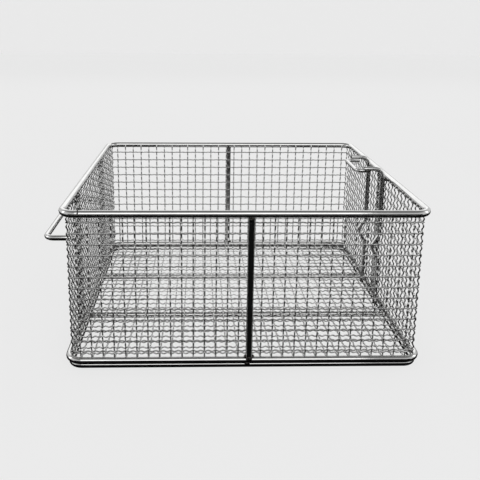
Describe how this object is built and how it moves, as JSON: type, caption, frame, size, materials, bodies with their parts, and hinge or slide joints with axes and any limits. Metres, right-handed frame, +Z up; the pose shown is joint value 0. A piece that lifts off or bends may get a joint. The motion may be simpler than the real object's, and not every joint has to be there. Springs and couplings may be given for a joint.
{
  "type": "deep fryer basket",
  "caption": "Rectangular stainless wire basket with a heavy rim, two base rings, a hanger loop and a wire socket for a lift-out handle.",
  "frame": {"origin": "middle of the lower base ring's underside, where the basket stands", "axes": "+X along the long side, from the hanger loop towards the handle socket; +Y towards the back wall; +Z up"},
  "size_m": [0.3243, 0.274, 0.1445],
  "materials": {
    "polished_rod": "polished stainless",
    "bright_cloth": "bright stainless wire"
  },
  "bodies": {
    "root": {"rim": "polished_rod", "upper_base_ring": "polished_rod", "lower_base_ring": "polished_rod", "floor_bar_front": "polished_rod", "floor_bar_back": "polished_rod", "front_post": "polished_rod", "back_post": "polished_rod", "right_post": "polished_rod", "left_post_front": "polished_rod", "left_post_back": "polished_rod", "hanger_loop": "polished_rod", "socket_leg_front": "polished_rod", "socket_leg_back": "polished_rod", "socket_loop": "polished_rod", "front_mesh": "bright_cloth", "back_mesh": "bright_cloth", "left_mesh": "bright_cloth", "right_mesh": "bright_cloth", "floor_mesh": "bright_cloth"}
  },
  "joints": []
}
